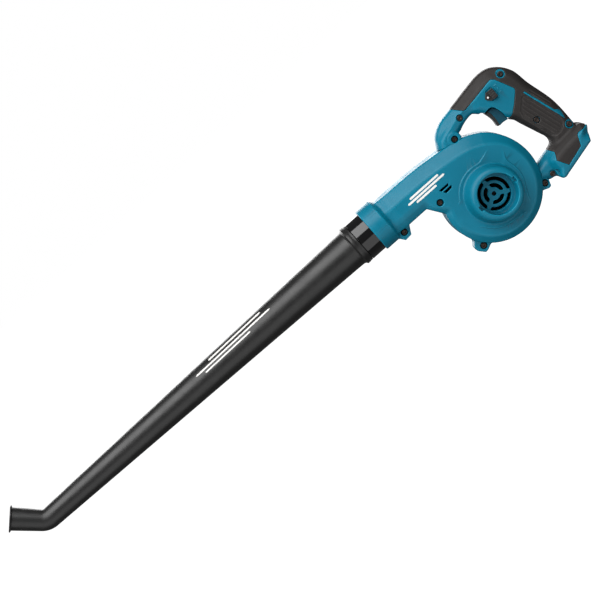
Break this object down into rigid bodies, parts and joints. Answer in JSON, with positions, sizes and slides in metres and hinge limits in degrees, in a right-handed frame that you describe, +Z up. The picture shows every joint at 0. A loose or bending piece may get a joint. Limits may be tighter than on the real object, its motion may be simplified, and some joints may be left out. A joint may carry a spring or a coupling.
{
  "type": "leaf blower",
  "caption": "Cordless leaf blower: snail-shaped fan case with a side intake, long tapered nozzle with a bent tip, and a closed rear handle over a battery dock.",
  "frame": {"origin": "centre of the grip, on the plane where the two halves of the housing part", "axes": "+X back along the nozzle's axis towards the user, +Y across the tool towards the motor, +Z up, towards the top of the handle"},
  "size_m": [0.8552, 0.16, 0.1781],
  "materials": {
    "housing_teal": "moulded nylon, satin with a fine spark texture",
    "soft_grip": "soft overmould, matt",
    "trigger_plastic": "moulded, satin",
    "lever_black": "moulded, satin",
    "inner_black": "moulded, matt",
    "board": "solder-masked circuit board",
    "lead_rubber": "matt",
    "connector_gloss": "polished",
    "tube_black": "blow-moulded, satin",
    "steel": "plain",
    "copper": "bare copper",
    "screw_black": "black phosphate"
  },
  "bodies": {
    "tool": {"fan_case_left": "housing_teal", "fan_case_right": "housing_teal", "intake_grille": "housing_teal", "motor_cover": "housing_teal", "handle_shell_left": "housing_teal", "handle_shell_right": "housing_teal", "grip_overmould_left": "soft_grip", "grip_overmould_right": "soft_grip", "trigger_switch": "inner_black", "terminal_block": "inner_black", "controller_board": "board", "switch_lead_left": "lead_rubber", "switch_lead_right": "lead_rubber", "nozzle_seal": "lead_rubber", "motor_can": "steel", "front_bearing": "steel", "rear_bearing": "steel", "selector_pin": "steel", "terminal_blade_left": "copper", "terminal_blade_right": "copper", "case_screw_front": "screw_black", "case_screw_web": "screw_black", "case_screw_belly": "screw_black", "case_screw_rear": "screw_black", "handle_screw_foot": "screw_black", "handle_screw_arch": "screw_black", "handle_screw_top": "screw_black", "handle_screw_grip": "screw_black", "handle_screw_heel": "screw_black", "handle_screw_dock": "screw_black", "motor_cover_screw_1": "screw_black", "motor_cover_screw_2": "screw_black", "motor_cover_screw_3": "screw_black"},
    "rotor": {"impeller": "inner_black", "impeller_nut": "steel", "motor_shaft": "steel", "rotor_core": "copper"},
    "trigger": {"trigger": "trigger_plastic"},
    "selector": {"selector_lever": "lever_black"},
    "nozzle": {"nozzle_connector": "connector_gloss", "nozzle_tube": "tube_black"}
  },
  "joints": [
    {"name": "fan_spin", "type": "hinge", "parent": "tool", "child": "rotor", "pos_m": [-0.107, 0, -0.034], "axis": [0, 1, 0], "continuous": true},
    {"name": "trigger_pull", "type": "slide", "parent": "tool", "child": "trigger", "axis": [1, 0, 0], "range_m": [0, 0.006], "stiffness_N_per_m": 700, "springref_m": -0.004},
    {"name": "selector_turn", "type": "hinge", "parent": "tool", "child": "selector", "pos_m": [-0.035, -0.0185, 0.0563], "axis": [0, 1, 0], "range_deg": [-18, 18]},
    {"name": "nozzle_twist", "type": "hinge", "parent": "tool", "child": "nozzle", "pos_m": [-0.2355, 0, 0.0272], "axis": [1, 0, 0], "range_deg": [0, 35]}
  ]
}
